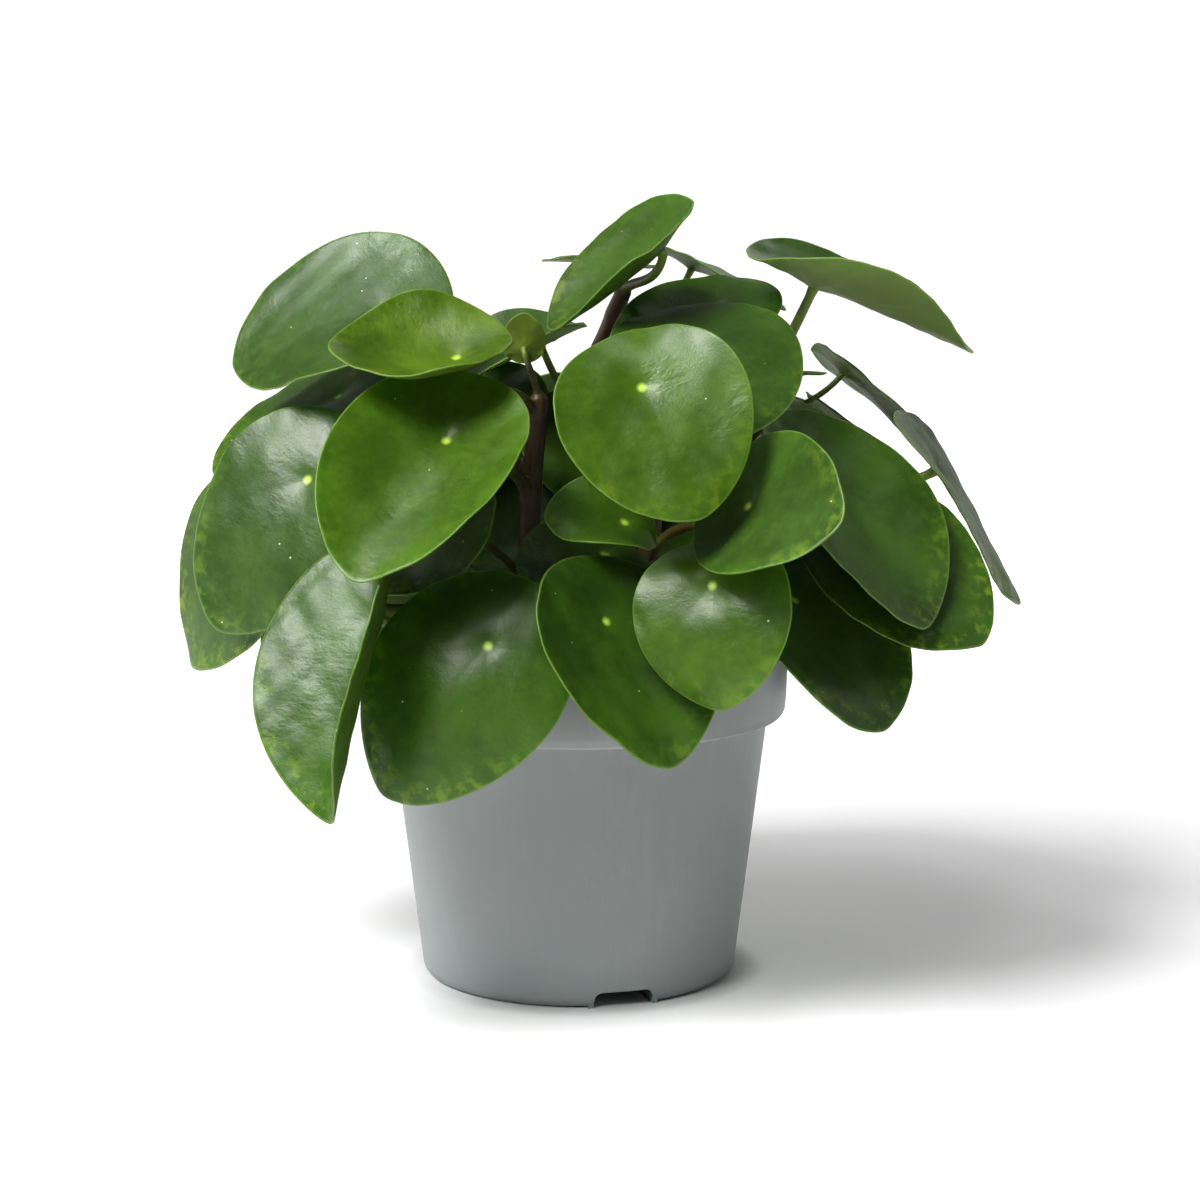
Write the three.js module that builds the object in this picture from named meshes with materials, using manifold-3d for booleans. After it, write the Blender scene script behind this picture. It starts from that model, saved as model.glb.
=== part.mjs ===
// A leafy house plant with round peltate leaves in a plain nursery pot.
// Millimetres, +Z up. The pot's axis is the Z axis and its foot stands on z = 0. The front is -Y.

import * as THREE from 'three';
import { mergeVertices } from 'three/addons/utils/BufferGeometryUtils.js';
import Module from 'manifold-3d';

const wasm = await Module();
wasm.setup();

// Driving dimensions of the pot
const potHeight = 94;
const rimRadius = 60.5;
const rimHeight = 19;
const stepRadius = 54.7;
const footRadius = 45.7;
const footRound = 3;
const wall = 1.5;
const floorThickness = 2;
const potSides = 48;
const lipShare = 0.6;
// The rim band starts from the step in a small round: [outward, up] from the step's corner
const rimUnderside = [[2.6, -0.3], [4.5, 2], [5.3, 5]];
const rimInside = [[3.7, 3.4], [-1.5, -0.5]];

// Three drainage channels run in from the wall under the floor, each with a hole up into the soil
const channelCount = 3;
const channelAzimuth = 16;
const channelWidth = 17;
const channelHeight = 4.5;
const channelRound = 2.5;
const channelInner = 16;
const channelSlices = 3;
const drainRadius = 3.5;
const drainPlace = 30;
const drainSides = 12;

// Soil: the mound's rings are [radius, share of the mound's height]
const soilLevel = 83;
const soilMound = 3;
const moundRings = [[46, 0.17], [33, 0.6], [19, 1], [0, 1]];
const soilRoughness = 0.9;
const soilSeed = 11;
const soilSides = 24;
const soilClearance = 0.45;
const plantingDepth = 16;
const plantingSides = 16;

// Leaf blades and their stalks
const gap = 0.3;
const bladeThickness = 1.2;
const marginThickness = 0.8;
const bladeSegments = 16;
const bladeRings = [0.52, 1];
const navelPlace = 0.3;
const eggShape = 0.15;
const tipPoint = 0.06;
const tipSpread = 0.7;
const foldSpread = 4;
const waveShare = 0.018;
const goldenAngle = 2.4;
const flat = 1e-6;
const stalkSides = 6;
const stalkSteps = 6;
const stalkThick = 1.9;
const stalkThin = 1.4;
const stemSides = 8;
const stemSteps = 6;
const stemUpright = 2;

// A stalk leaves its stem upwards and a little outwards, and arrives square to its blade. These are
// shares of its span, the last one with a limit in millimetres; a small leaf has a thinner stalk.
const leaveUp = 0.38;
const leaveOutward = 0.12;
const arriveShare = 0.36;
const arriveLimit = 20;
const fullLeaf = 60;
const thinnestShare = 0.6;

const radians = THREE.MathUtils.degToRad;

// Stems: where each stands in the soil, the points it rises through, and its radius at foot and top
const stemList = {
  front: { foot: [14, -14], rise: [[19, -23, 120], [22, -26, 160]], radii: [3.4, 2.6] },
  left: { foot: [-12, -8], rise: [[-14, -16, 125], [-11, -20, 167]], radii: [3.4, 2.6] },
  far_left: { foot: [-28, 8], rise: [[-36, 6, 110], [-41, 2, 135]], radii: [3.0, 2.3] },
  right: { foot: [32, 6], rise: [[41, 4, 118], [47, 2, 152]], radii: [3.2, 2.4] },
  back: { foot: [0, 26], rise: [[-1, 32, 120], [0, 34, 160], [13, 2, 197]], radii: [3.2, 2.4] },
};

// Colour and roughness of each finish
const finishes = {
  pot: { color: 0x8a9090, roughness: 0.55 },
  soil: { color: 0x2b1d14, roughness: 0.95 },
  stem: { color: 0x5d4a22, roughness: 0.5 },
  mature: { color: 0x3f6a2b, roughness: 0.4 },
  grey: { color: 0x4c6648, roughness: 0.38 },
  bright: { color: 0x5c8a24, roughness: 0.42 },
  young: { color: 0x7d8f1e, roughness: 0.45 },
};

// Leaves: name, finish, stem, height of the stalk's joint on the stem, the navel's place,
// [heading, droop, roll] in degrees (heading 0 points to the front, 90 to the right),
// [length, width], the blade's bends in degrees [cup, fold, arch], and, where the stalk doesn't come
// straight up to the blade, the direction in which it arrives
const leafList = [
  // Left side
  ['left_top', 'grey', 'left', 140, [-54, -20, 191], [-94, 13, -41], [66, 59], [55, 0, -23]],
  ['left_young', 'young', 'left', 158, [-32, -56, 179], [-80, 16, -28], [51, 47], [104, 0, 62]],
  ['left_broad', 'bright', 'left', 136, [-34, -70, 158], [-38, 45, -23], [71, 53], [66, 14, 15]],
  ['left_glossy', 'grey', 'far_left', 118, [-73, -42, 146], [-74, 52, -47], [69, 51], [-4, 9, -34]],
  ['left_outer', 'mature', 'far_left', 112, [-92, -9, 131], [-100, 65, -45], [66, 62], [10, 0, 0]],
  ['left_under_top', 'mature', 'far_left', 128, [-68, -8, 167], [-90, 28, -22], [60, 52], [10, 0, -5]],
  ['left_inner', 'mature', 'left', 104, [-36, -50, 138], [-60, 50, -20], [42, 42], [15, 0, 10]],
  ['left_hanging', 'mature', 'far_left', 98, [-51.5, -75, 112.5], [-31, 65, 24], [78, 61], [15, 70, 2]],
  ['left_up', 'young', 'left', 166, [-15, -24, 181], [0, -75, 0], [14, 12], [10, 0, 10]],
  ['left_side', 'mature', 'far_left', 98, [-63, 0, 108], [-95, 62, 0], [54, 48], [25, 0, 0]],
  ['inner', 'mature', 'back', 130, [3, 6, 158], [10, 50, 0], [46, 42], [20, 0, 0]],
  // Front
  ['front_bright', 'bright', 'front', 136, [16, -79, 172], [42, 56, 37], [55, 50], [39, 0, -10]],
  ['front_low_left', 'mature', 'left', 96, [-23, -86, 107], [-70, 47, -54], [70, 51], [5, -20, -50]],
  ['front_low', 'mature', 'front', 96, [7, -77, 112], [40, 60, 0], [61, 58], [60, 0, 15]],
  ['front_round', 'bright', 'front', 104, [34, -83, 122], [-2, 64, 18], [46, 41], [5, 5, -43]],
  ['front_kidney', 'mature', 'front', 118, [43, -81, 142], [38, 4, 58], [50, 42], [45, 3, 9]],
  ['front_small', 'bright', 'front', 128, [12, -60, 136], [-70, -10, -40], [31, 29], [70, 0, -25]],
  ['front_shaded', 'mature', 'left', 104, [7, -44, 126], [-55, 5, -30], [38, 35], [0, 0, -25]],
  // Top
  ['top', 'mature', 'back', 190, [22, -22, 208], [-94, 48, -20], [54, 48], [45, 25, 41], [0.2, -0.3, 1]],
  ['top_shaded', 'grey', 'front', 145, [32, -36, 184], [20, 35, 10], [56, 52], [0, 0, -20]],
  ['top_dark', 'mature', 'front', 155, [40, -3, 192], [-60, 25, -20], [57, 42], [25, 0, -15]],
  ['top_far', 'mature', 'back', 155, [34, 32, 204], [85, 25, 0], [44, 36], [30, 0, 0]],
  ['top_grey', 'grey', 'back', 150, [-11, 5, 182], [-75, 24, -10], [46, 42], [80, 0, 0]],
  ['top_behind', 'grey', 'back', 150, [13, 16, 204], [-90, -5, 0], [34, 28], [20, 0, 0]],
  ['top_corner', 'mature', 'front', 140, [45, -25, 172], [75, -5, 0], [34, 28], [20, 0, 0]],
  // Right side
  ['right_top', 'grey', 'right', 150, [66, -13, 198], [97, 23, 7], [71, 60], [90, 0, 5]],
  ['right_edge', 'grey', 'right', 145, [79, 26, 173], [90, 40, -5], [40, 40], [5, 0, 0]],
  ['right_outer', 'mature', 'right', 132, [103, -2, 146], [100, 54, 20], [68, 48], [10, 0, -12]],
  ['right_behind', 'mature', 'right', 138, [80, 34, 156], [80, 40, -10], [52, 42], [15, 0, 0]],
  ['right_inner', 'young', 'right', 134, [62, -15, 162], [70, 35, 0], [34, 32], [15, 0, 0]],
  ['right_side', 'mature', 'right', 100, [65, 4, 107], [92, 60, 0], [50, 40], [25, 0, 0]],
  ['right_broad', 'mature', 'right', 120, [65, -46, 146], [55, 55, 5], [71, 66], [60, 0, 20]],
  ['right_low', 'mature', 'right', 122, [79, -38, 128], [60, 35, 24], [60, 56], [20, 0, -10]],
  ['right_lowest', 'mature', 'front', 100, [58, -50, 114], [50, 40, 5], [62, 58], [25, 0, -25]],
  // Back
  ['back_top_left', 'mature', 'back', 146, [-26, 37, 181], [-145, 8, 0], [50, 48], [15, 0, -10]],
  ['back_top_right', 'grey', 'back', 155, [34, 50, 186], [150, 25, 0], [60, 56], [25, 0, -15]],
  ['back_left', 'mature', 'far_left', 125, [-70, 28, 154], [-108, 45, 5], [64, 60], [30, 0, -5]],
  ['back_mid_left', 'bright', 'back', 130, [-44, 70, 150], [-150, 50, 0], [62, 58], [35, 0, 10]],
  ['back_mid', 'mature', 'back', 128, [3, 84, 156], [-178, 55, 0], [64, 60], [40, 0, 5]],
  ['back_mid_right', 'grey', 'right', 130, [56, 72, 154], [143, 45, 0], [62, 58], [30, 0, 0]],
  ['back_right', 'mature', 'right', 128, [92, 50, 130], [112, 50, 0], [60, 56], [25, 0, -5]],
  ['back_low_left', 'mature', 'far_left', 100, [-74, 34, 116], [-112, 65, 0], [60, 50], [30, 0, 5]],
  ['back_low_mid_left', 'mature', 'back', 104, [-42, 73, 108], [-152, 65, 0], [60, 52], [35, 0, 0]],
  ['back_low', 'bright', 'back', 100, [3, 84, 107], [-180, 65, 0], [58, 50], [35, 0, 10]],
  ['back_low_right', 'mature', 'right', 100, [48, 76, 110], [150, 60, 0], [60, 56], [30, 0, 0]],
  ['back_low_far_right', 'mature', 'right', 98, [78, 38, 106], [115, 62, 0], [54, 50], [25, 0, 0]],
  // Deep between the stems
  ['inner_top', 'mature', 'back', 138, [-27, 20, 167], [-10, 45, 0], [42, 38], [15, 0, 0]],
  ['inner_left', 'mature', 'back', 108, [-20, 14, 146], [-12, 68, 0], [52, 42], [20, 0, 0]],
  ['inner_right', 'mature', 'back', 112, [20, 10, 141], [6, 66, 0], [46, 38], [20, 0, 0]],
];

const leaves = leafList.map(([name, finish, stem, joint, navel, turn, size, bend, arrival], order) => ({
  name: `leaf_${name}`,
  finish,
  stem,
  joint,
  navel: new THREE.Vector3(...navel),
  turn: new THREE.Euler(radians(-turn[1]), radians(turn[2]), radians(turn[0] + 180), 'ZXY'),
  length: size[0],
  width: size[1],
  cup: radians(bend[0]),
  fold: radians(bend[1]),
  arch: radians(bend[2]) || flat,
  phase: order * goldenAngle,
  arrival: arrival && new THREE.Vector3(...arrival).normalize(),
}));

// Solids: a closed three.js geometry to a manifold and back
function toSolid(geometry) {
  const bare = new THREE.BufferGeometry();
  bare.setAttribute('position', geometry.getAttribute('position'));
  bare.setIndex(geometry.getIndex());
  const merged = mergeVertices(bare, 1e-4);
  const vertProperties = new Float32Array(merged.getAttribute('position').array);
  const triVerts = new Uint32Array(merged.getIndex().array);
  return new wasm.Manifold(new wasm.Mesh({ numProp: 3, vertProperties, triVerts }));
}

function toGeometry(solid) {
  const mesh = solid.getMesh();
  const geometry = new THREE.BufferGeometry();
  geometry.setAttribute('position', new THREE.BufferAttribute(mesh.vertProperties, 3));
  geometry.setIndex(new THREE.BufferAttribute(mesh.triVerts, 1));
  return geometry;
}

function indexed(points, faces) {
  const geometry = new THREE.BufferGeometry();
  const numbers = points.flatMap((point) => point.toArray());
  geometry.setAttribute('position', new THREE.Float32BufferAttribute(numbers, 3));
  geometry.setIndex(faces.flat());
  return geometry;
}

// A profile of [radius, height] points from axis to axis, turned about Z
function turned(profile, sides) {
  const points = profile.map(([radius, height]) => new THREE.Vector2(radius, height));
  return new THREE.LatheGeometry(points, sides).rotateX(Math.PI / 2);
}

// A round stalk along a curve, thinner towards its end, with flat ends
function stalk(curve, firstRadius, lastRadius, steps, sides) {
  const frames = curve.computeFrenetFrames(steps, false);
  const points = [];
  const faces = [];
  for (let step = 0; step <= steps; step += 1) {
    const centre = curve.getPointAt(step / steps);
    const radius = THREE.MathUtils.lerp(firstRadius, lastRadius, step / steps);
    for (let side = 0; side < sides; side += 1) {
      const angle = (2 * Math.PI * side) / sides;
      const point = centre.clone();
      point.addScaledVector(frames.normals[step], radius * Math.cos(angle));
      point.addScaledVector(frames.binormals[step], radius * Math.sin(angle));
      points.push(point);
    }
  }
  for (let step = 0; step < steps; step += 1) {
    for (let side = 0; side < sides; side += 1) {
      const next = (side + 1) % sides;
      const a = step * sides + side;
      const b = step * sides + next;
      faces.push([a, b, b + sides], [a, b + sides, a + sides]);
    }
  }
  const last = steps * sides;
  for (let side = 1; side < sides - 1; side += 1) {
    faces.push([0, side + 1, side], [last, last + side, last + side + 1]);
  }
  return indexed(points, faces);
}

// The pot: a tapered body with a proud rim band, round at its lip and at its foot
const stepHeight = potHeight - rimHeight;

function fromStep([outward, up]) {
  return [stepRadius + outward, stepHeight + up];
}

function potProfile() {
  const lip = wall / 2;
  const bevel = footRound * (1 - Math.SQRT1_2);
  return [
    [0, 0], [footRadius - footRound, 0], [footRadius - bevel, bevel], [footRadius, footRound],
    [stepRadius, stepHeight], ...rimUnderside.map(fromStep), [rimRadius, potHeight - lip],
    [rimRadius - lip * lipShare, potHeight], [rimRadius - wall, potHeight - lip],
    ...rimInside.map(fromStep),
    [footRadius - wall, footRound], [footRadius - footRound, floorThickness], [0, floorThickness],
  ];
}

// A drainage channel is a round-topped slot along +X, open below; grow widens it on every side
function channel(from, to, grow) {
  const half = channelWidth / 2 + grow;
  const top = channelHeight + grow;
  const round = channelRound + grow;
  const bottom = -wall;
  const section = new THREE.Shape();
  section.moveTo(-half, bottom);
  section.lineTo(half, bottom);
  section.lineTo(half, top - round);
  section.absarc(half - round, top - round, round, 0, Math.PI / 2);
  section.lineTo(-half + round, top);
  section.absarc(-half + round, top - round, round, Math.PI / 2, Math.PI);
  section.closePath();
  const settings = { depth: to - from, bevelEnabled: false, curveSegments: channelSlices };
  const slot = new THREE.ExtrudeGeometry(section, settings);
  return slot.rotateX(Math.PI / 2).rotateZ(Math.PI / 2).translate(from, 0, 0);
}

function channelAngles() {
  const angles = [];
  for (let place = 0; place < channelCount; place += 1) {
    angles.push(radians(channelAzimuth - 90 + (360 * place) / channelCount));
  }
  return angles;
}

function potSolid() {
  let solid = toSolid(turned(potProfile(), potSides));
  const across = 2 * rimRadius;
  const below = toSolid(new THREE.BoxGeometry(across, across, across).translate(0, 0, -rimRadius));
  for (const angle of channelAngles()) {
    const cover = toSolid(channel(channelInner - wall, footRadius - wall, wall).rotateZ(angle));
    solid = solid.add(cover.subtract(below));
  }
  for (const angle of channelAngles()) {
    const slot = channel(channelInner, rimRadius, 0).rotateZ(angle);
    const drain = new THREE.CylinderGeometry(drainRadius, drainRadius, 2 * channelHeight, drainSides);
    drain.rotateX(Math.PI / 2).translate(drainPlace, 0, channelHeight).rotateZ(angle);
    solid = solid.subtract(toSolid(slot)).subtract(toSolid(drain));
  }
  return solid;
}

// The soil's flat-topped body inside the pot, and its mounded top made uneven
function soilBody() {
  const inner = wall + soilClearance;
  const round = footRound * (1 - Math.SQRT1_2);
  const [[bandOut, bandUp]] = rimInside;
  const profile = [
    [0, floorThickness + gap], [footRadius - footRound - round, floorThickness + gap],
    [footRadius - inner, footRound + round], [stepRadius - inner, stepHeight - gap],
    [stepRadius + bandOut - soilClearance, stepHeight + bandUp + gap],
    [rimRadius - inner - soilClearance, soilLevel],
    ...moundRings.map(([radius, share]) => [radius, soilLevel + soilMound * share]),
  ];
  const body = turned(profile, soilSides);
  const position = body.getAttribute('position');
  const lifts = new Map();
  THREE.MathUtils.seededRandom(soilSeed);
  for (let i = 0; i < position.count; i += 1) {
    const place = [position.getX(i), position.getY(i)].map(Math.round).join(' ');
    const onMound = position.getZ(i) > soilLevel && place !== '0 0';
    if (onMound && !lifts.has(place)) {
      lifts.set(place, (2 * THREE.MathUtils.seededRandom() - 1) * soilRoughness);
    }
    position.setZ(i, position.getZ(i) + (onMound ? lifts.get(place) : 0));
  }
  return body;
}

// The soil fills the pot to below its rim, with a plain hole for each stem
function soilSolid() {
  let solid = toSolid(soilBody());
  for (const angle of channelAngles()) {
    const cover = channel(channelInner - wall - gap, 2 * rimRadius, wall + gap).rotateZ(angle);
    solid = solid.subtract(toSolid(cover));
  }
  for (const { foot, radii } of Object.values(stemList)) {
    const radius = radii[0] + 2 * gap;
    const hole = new THREE.CylinderGeometry(radius, radius, 2 * plantingDepth, plantingSides);
    hole.rotateX(Math.PI / 2).translate(...foot, soilLevel + soilMound);
    solid = solid.subtract(toSolid(hole));
  }
  return solid;
}

// Leaf blades. The flat outline is an egg with its broad end at the base and a small point at the tip;
// angle 0 is the tip, ring 0 the navel and ring 1 the margin.
function outlinePoint(leaf, angle, ring) {
  const towardsTip = Math.cos(angle);
  const turn = Math.atan2(Math.sin(angle), towardsTip);
  const point = towardsTip > 0 ? tipPoint : 0;
  const peak = Math.max(0, 1 - Math.abs(turn) / tipSpread) ** 2;
  const reach = (1 - point) * towardsTip + point * peak;
  const along = leaf.length * (0.5 - navelPlace) + (leaf.length / 2) * reach;
  const across = (leaf.width / 2) * Math.sin(angle) * (1 - eggShape * towardsTip);
  return [across * ring, along * ring];
}

// The flat outline bent: cupped and folded about the midrib, arched along it, and waved at the margin
function bladePoint(leaf, angle, ring) {
  const [across, along] = outlinePoint(leaf, angle, ring);
  const walks = 8;
  let x = 0;
  let rise = waveShare * leaf.length * ring ** 3 * Math.sin(3 * angle + leaf.phase);
  for (let walk = 0; walk < walks; walk += 1) {
    const place = (across * (walk + 0.5)) / walks;
    const slope = (leaf.cup * place) / leaf.width + (leaf.fold / 2) * Math.tanh(place / foldSpread);
    x += (Math.cos(slope) * across) / walks;
    rise += (Math.sin(slope) * across) / walks;
  }
  const bend = (along * leaf.arch) / leaf.length;
  const radius = leaf.length / leaf.arch;
  const y = Math.sin(bend) * (radius - rise);
  const z = radius - Math.cos(bend) * (radius - rise);
  return new THREE.Vector3(x, y, z);
}

function bladeNormal(leaf, angle, ring) {
  const step = 0.02;
  const outward = bladePoint(leaf, angle, ring + step).sub(bladePoint(leaf, angle, ring - step));
  const around = bladePoint(leaf, angle + step, ring).sub(bladePoint(leaf, angle - step, ring));
  return around.cross(outward).normalize();
}

// Both faces of a blade share one pattern of triangles and its margin closes them
function bladeGeometry(leaf) {
  const upper = [new THREE.Vector3(0, 0, bladeThickness / 2)];
  const lower = [new THREE.Vector3(0, 0, -bladeThickness / 2)];
  for (const ring of bladeRings) {
    const half = THREE.MathUtils.lerp(bladeThickness, marginThickness, ring ** 2) / 2;
    for (let segment = 0; segment < bladeSegments; segment += 1) {
      const angle = (2 * Math.PI * segment) / bladeSegments;
      const point = bladePoint(leaf, angle, ring);
      const normal = bladeNormal(leaf, angle, ring);
      upper.push(point.clone().addScaledVector(normal, half));
      lower.push(point.clone().addScaledVector(normal, -half));
    }
  }
  const below = upper.length;
  const faces = [];
  const addBoth = (a, b, c) => faces.push([a, c, b], [below + a, below + b, below + c]);
  for (let segment = 0; segment < bladeSegments; segment += 1) {
    const next = (segment + 1) % bladeSegments;
    addBoth(0, 1 + segment, 1 + next);
    for (let ring = 1; ring < bladeRings.length; ring += 1) {
      const inner = 1 + (ring - 1) * bladeSegments;
      const outer = inner + bladeSegments;
      addBoth(inner + segment, outer + segment, outer + next);
      addBoth(inner + segment, outer + next, inner + next);
    }
    const rim = 1 + (bladeRings.length - 1) * bladeSegments;
    faces.push([rim + segment, rim + next, below + rim + next]);
    faces.push([rim + segment, below + rim + next, below + rim + segment]);
  }
  return indexed([...upper, ...lower], faces);
}

// A stem with the stalks of its leaves, each rising from its joint and ending just under its navel
function stemCurve(stem) {
  const buried = soilLevel + soilMound - plantingDepth;
  const levels = [buried + gap, (buried + soilLevel) / 2, soilLevel + soilMound + stemUpright];
  const upright = levels.map((level) => new THREE.Vector3(...stem.foot, level));
  const rising = stem.rise.map((point) => new THREE.Vector3(...point));
  return new THREE.CatmullRomCurve3([...upright, ...rising]);
}

function stemPointAt(curve, height) {
  let low = 0;
  let high = 1;
  for (let halving = 0; halving < 24; halving += 1) {
    const middle = (low + high) / 2;
    const below = curve.getPoint(middle).z < height;
    low = below ? middle : low;
    high = below ? high : middle;
  }
  return curve.getPoint(low);
}

function stalkCurve(leaf, joint) {
  const upward = new THREE.Vector3(0, 0, 1);
  const facing = new THREE.Vector3(0, 0, 1).applyEuler(leaf.turn);
  const arrival = leaf.arrival || facing;
  const slant = stalkThin * Math.sin(arrival.angleTo(facing));
  const end = leaf.navel.clone().addScaledVector(facing, -(bladeThickness / 2 + gap + slant));
  const span = end.distanceTo(joint);
  const outward = end.clone().sub(joint).setZ(0).normalize();
  const leave = joint.clone().addScaledVector(upward, leaveUp * span);
  leave.addScaledVector(outward, leaveOutward * span);
  const arrive = end.clone().addScaledVector(arrival, -Math.min(arriveShare * span, arriveLimit));
  return new THREE.CubicBezierCurve3(joint, leave, arrive, end);
}

function stemSolid(name, stem) {
  const curve = stemCurve(stem);
  let solid = toSolid(stalk(curve, stem.radii[0], stem.radii[1], stemSteps, stemSides));
  for (const leaf of leaves.filter((each) => each.stem === name)) {
    const path = stalkCurve(leaf, stemPointAt(curve, leaf.joint));
    const share = THREE.MathUtils.clamp(leaf.length / fullLeaf, thinnestShare, 1);
    const petiole = stalk(path, stalkThick * share, stalkThin * share, stalkSteps, stalkSides);
    solid = solid.add(toSolid(petiole));
  }
  return solid;
}

function named(name, geometry, finish) {
  const material = new THREE.MeshStandardMaterial({ ...finishes[finish], metalness: 0 });
  const mesh = new THREE.Mesh(geometry, material);
  mesh.name = name;
  return mesh;
}

const plant = new THREE.Group();
plant.add(named('pot', toGeometry(potSolid()), 'pot'));
plant.add(named('soil', toGeometry(soilSolid()), 'soil'));
for (const [name, stem] of Object.entries(stemList)) {
  plant.add(named(`stem_${name}`, toGeometry(stemSolid(name, stem)), 'stem'));
}
for (const leaf of leaves) {
  const blade = named(leaf.name, bladeGeometry(leaf), leaf.finish);
  blade.position.copy(leaf.navel);
  blade.rotation.copy(leaf.turn);
  plant.add(blade);
}

export default plant;
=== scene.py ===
"""The looks of a potted pilea plant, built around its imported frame.

Lengths are millimetres, as in the part's source, until a mesh is made. The pot's axis is Z, its foot
stands on z = 0 and the front is -Y.
"""

import math

import bmesh
import bpy
import numpy as np
from mathutils import Euler, Matrix, Vector


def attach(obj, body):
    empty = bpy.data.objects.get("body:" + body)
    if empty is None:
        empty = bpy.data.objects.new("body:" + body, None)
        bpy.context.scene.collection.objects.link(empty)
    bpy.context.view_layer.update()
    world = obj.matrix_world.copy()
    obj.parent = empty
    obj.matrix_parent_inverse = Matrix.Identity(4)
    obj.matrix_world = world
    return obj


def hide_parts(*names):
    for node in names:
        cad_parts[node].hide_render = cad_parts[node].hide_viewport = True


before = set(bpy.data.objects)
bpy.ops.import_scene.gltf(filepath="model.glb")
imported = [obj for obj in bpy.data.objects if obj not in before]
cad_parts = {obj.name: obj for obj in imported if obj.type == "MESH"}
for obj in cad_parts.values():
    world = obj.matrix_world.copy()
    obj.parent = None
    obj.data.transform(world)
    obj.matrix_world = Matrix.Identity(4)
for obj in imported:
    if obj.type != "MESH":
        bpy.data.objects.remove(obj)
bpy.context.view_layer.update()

MM = 0.001
FULL_TURN = 2 * math.pi

# The photo's camera: distance in front of the axis, height, tilt down, turn to the right, focal length
CAMERA_BACK = 680
CAMERA_HEIGHT = 192.5
CAMERA_TILT = 7.08
CAMERA_TURN = 0.52
FOCAL_LENGTH = 71.04
SENSOR = 36

# Pot
POT_HEIGHT = 94
RIM_RADIUS = 60.5
RIM_HEIGHT = 19
STEP_RADIUS = 54.7
STEP_ROUND = 0.9
SHOULDER_ROUND = 4.0
FOOT_RADIUS = 45.7
FOOT_ROUND = 3
WALL = 1.5
FLOOR_THICKNESS = 2
POT_SIDES = 192
STEP_HEIGHT = POT_HEIGHT - RIM_HEIGHT
BAND_HEIGHT = STEP_HEIGHT + 6
CHANNEL_COUNT = 3
CHANNEL_AZIMUTH = 16
CHANNEL_WIDTH = 17
CHANNEL_HEIGHT = 4.5
CHANNEL_ROUND = 2.5
CHANNEL_INNER = 16
DRAIN_RADIUS = 3.5
DRAIN_PLACE = 30
DRAIN_SIDES = 32
DRAIN_CUT = (0.5, 2 * CHANNEL_HEIGHT)
CRISP_EDGE = 32

# Soil
SOIL_LEVEL = 83
SOIL_MOUND = 3
MOUND_RADIUS = 46
SOIL_SIDES = 128
SOIL_RINGS = 44
SOIL_GAP = 0.4
PLANTING_DEPTH = 16
CLOD_COUNT = 900
CLOD_FROM_WALL = 4
CLOD_SIZE = (0.45, 1.5)
LARGE_CLOD = 0.8

# Leaf blades, by the same formula as in the part's source
GAP = 0.3
BLADE_THICKNESS = 1.2
NAVEL_PLACE = 0.3
EGG_SHAPE = 0.15
TIP_POINT = 0.06
TIP_SPREAD = 0.7
TIP_ROUND = 0.07
FOLD_SPREAD = 4
WAVE_SHARE = 0.018
GOLDEN_ANGLE = 2.4
FLAT = 1e-6

# The seen blade: its thickness at the navel and at the margin, and how finely it is divided
LOOK_THICKNESS = 1.0
LOOK_MARGIN = 0.5
BLADE_SEGMENTS = 96
BLADE_RINGS = 22
MARGIN_ROWS = 3
MARGIN_BULGE = 0.8
EVEN_RINGS = 0.55
BEND_STEPS = 16
NORMAL_STEP = 0.01
NAVEL_RING = 0.03
GOLDEN_SHARE = 0.618

# Relief of a blade in mm: the dimple at the navel, the pillow around it, grooves over the veins,
# puckers and the swell of the margin
DIMPLE_DEPTH = 0.7
DIMPLE_RADIUS = 2.2
PILLOW_HEIGHT = 0.9
PILLOW_RADIUS = 6.5
VEIN_COUNT = 9
VEIN_ANGLE = FULL_TURN / VEIN_COUNT
VEIN_WIDTH = 1.1
GROOVE_DEPTH = 0.05
GROOVE_START = 5
PUCKER_COUNT = 7
PUCKER_HEIGHT = 0.07
PUCKER_WAVES = 0.34
PUCKER_AT_NAVEL = 0.35
SWELL_HEIGHT = 1.1
SWELL_COUNTS = (5, 8, 13)
ANY_PHASE = 6.3
UNDER_RELIEF = 0.85
NAVEL_SINK = 0.72
NAVEL_KNOB = 0.5
RELIEF_SEEDS = 1000
FIRST_SEED = 7

# Yellow-green blotches of a mature leaf and of the others, and the share that every leaf has
BLOTCHY_MATURE = 1.0
BLOTCHY_OTHER = 0.45
LEAST_BLOTCHY = 0.4

# Stalks and stems
STALK_THICK = 1.9
STALK_THIN = 1.4
LEAVE_UP = 0.38
LEAVE_OUTWARD = 0.12
ARRIVE_SHARE = 0.36
ARRIVE_LIMIT = 20
FULL_LEAF = 60
THINNEST_SHARE = 0.6
STEM_UPRIGHT = 2
STEM_STEPS = 16
STEM_SIDES = 16
STALK_STEPS = 28
STALK_SIDES = 12
INTO_BLADE = 0.4
STEM_VOXEL = 0.5
SOFTENING = 0.5
SOFTENING_ROUNDS = 4
NEAREST_AT_ONCE = 4000

# A stem thickens at each knot and has scars of old leaves, and closes over its top; a stalk thickens
# at its foot and under its blade. Each pair is an amount and how far it reaches.
KNOT = (0.10, 2.2)
SCAR_HEIGHT = 0.07
SCAR_WAVES = 1.15
SCAR_SHARPNESS = 6
CROWN_RISES = (1.2, 2.2)
CROWN_SHARES = (0.7, 0.3)
STALK_FOOT = (0.9, 0.06)
STALK_HEAD = (0.7, 0.035)

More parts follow.
